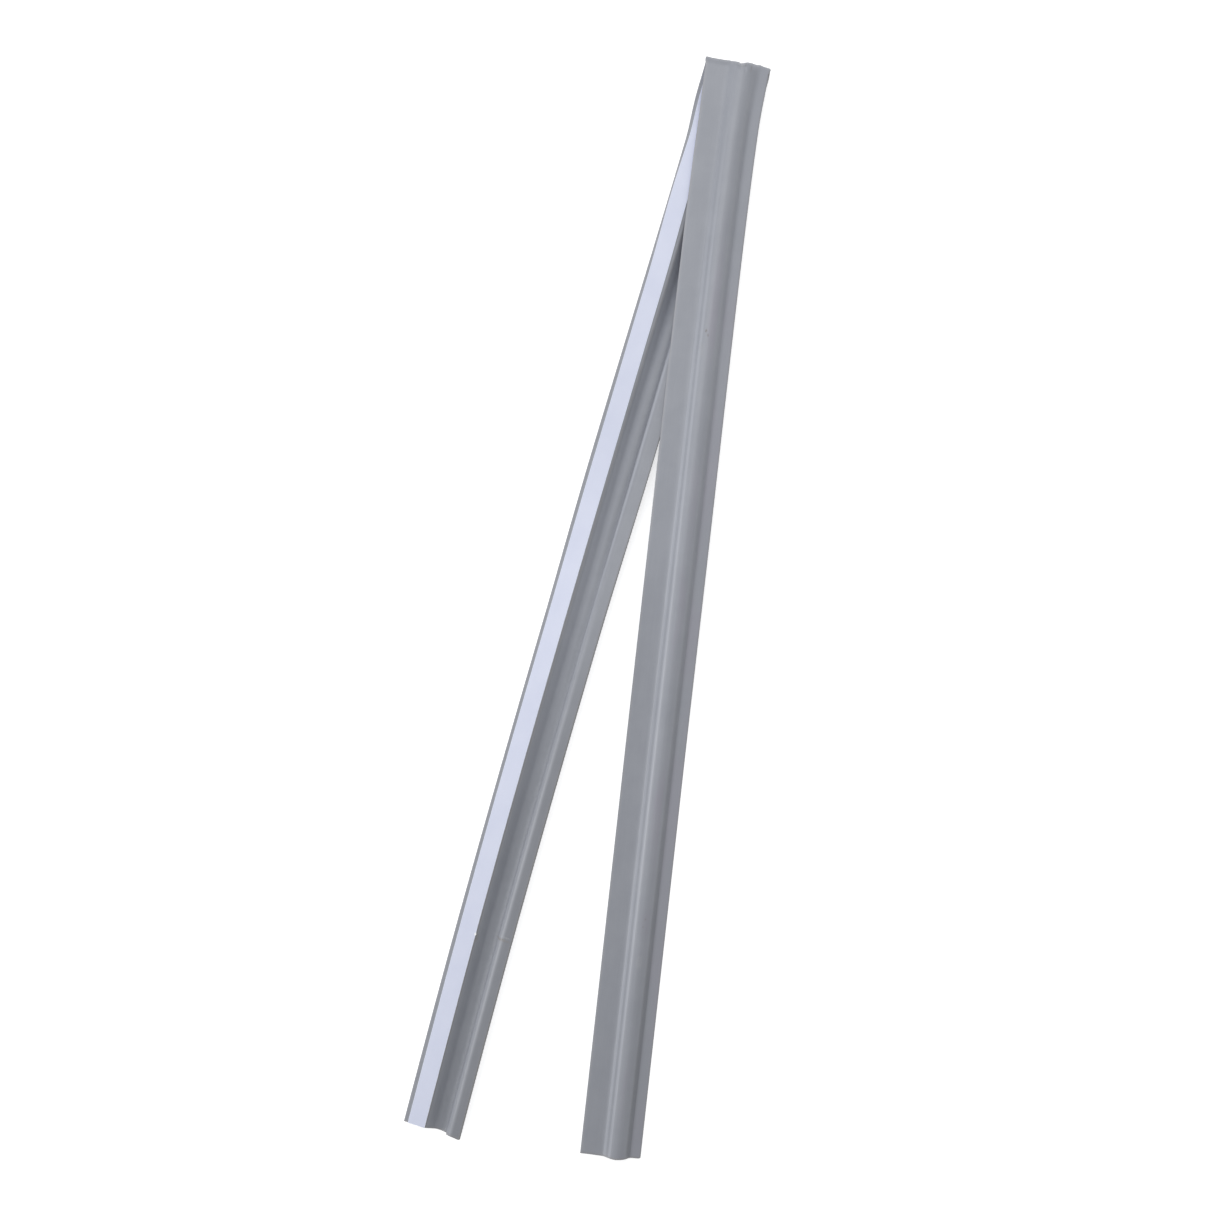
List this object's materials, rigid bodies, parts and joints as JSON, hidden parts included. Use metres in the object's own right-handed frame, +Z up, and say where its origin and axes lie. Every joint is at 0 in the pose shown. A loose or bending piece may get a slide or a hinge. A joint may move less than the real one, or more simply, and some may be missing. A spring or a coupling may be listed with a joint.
{
  "type": "door weatherstrip",
  "caption": "Self-adhesive rubber door seal strip with an arched profile and a lip, folded in half, with its tape under a release liner.",
  "frame": {"origin": "bottom centre of the bounding box, on the floor that the folded strip lies on", "axes": "+Y along the folded strip, from the free ends to the fold; +Z up; +X to the side of the upper leg"},
  "size_m": [0.1084, 0.4994, 0.014],
  "materials": {
    "strip_rubber": "soft matt grey with a faint sheen along the arch",
    "tape": "clear-white double-sided tape, matt at its edge",
    "liner": "smooth coated paper, pale lavender-white, slight sheen"
  },
  "bodies": {
    "root": {"seal_strip": "strip_rubber", "adhesive_tape": "tape", "release_liner": "liner"}
  },
  "joints": []
}
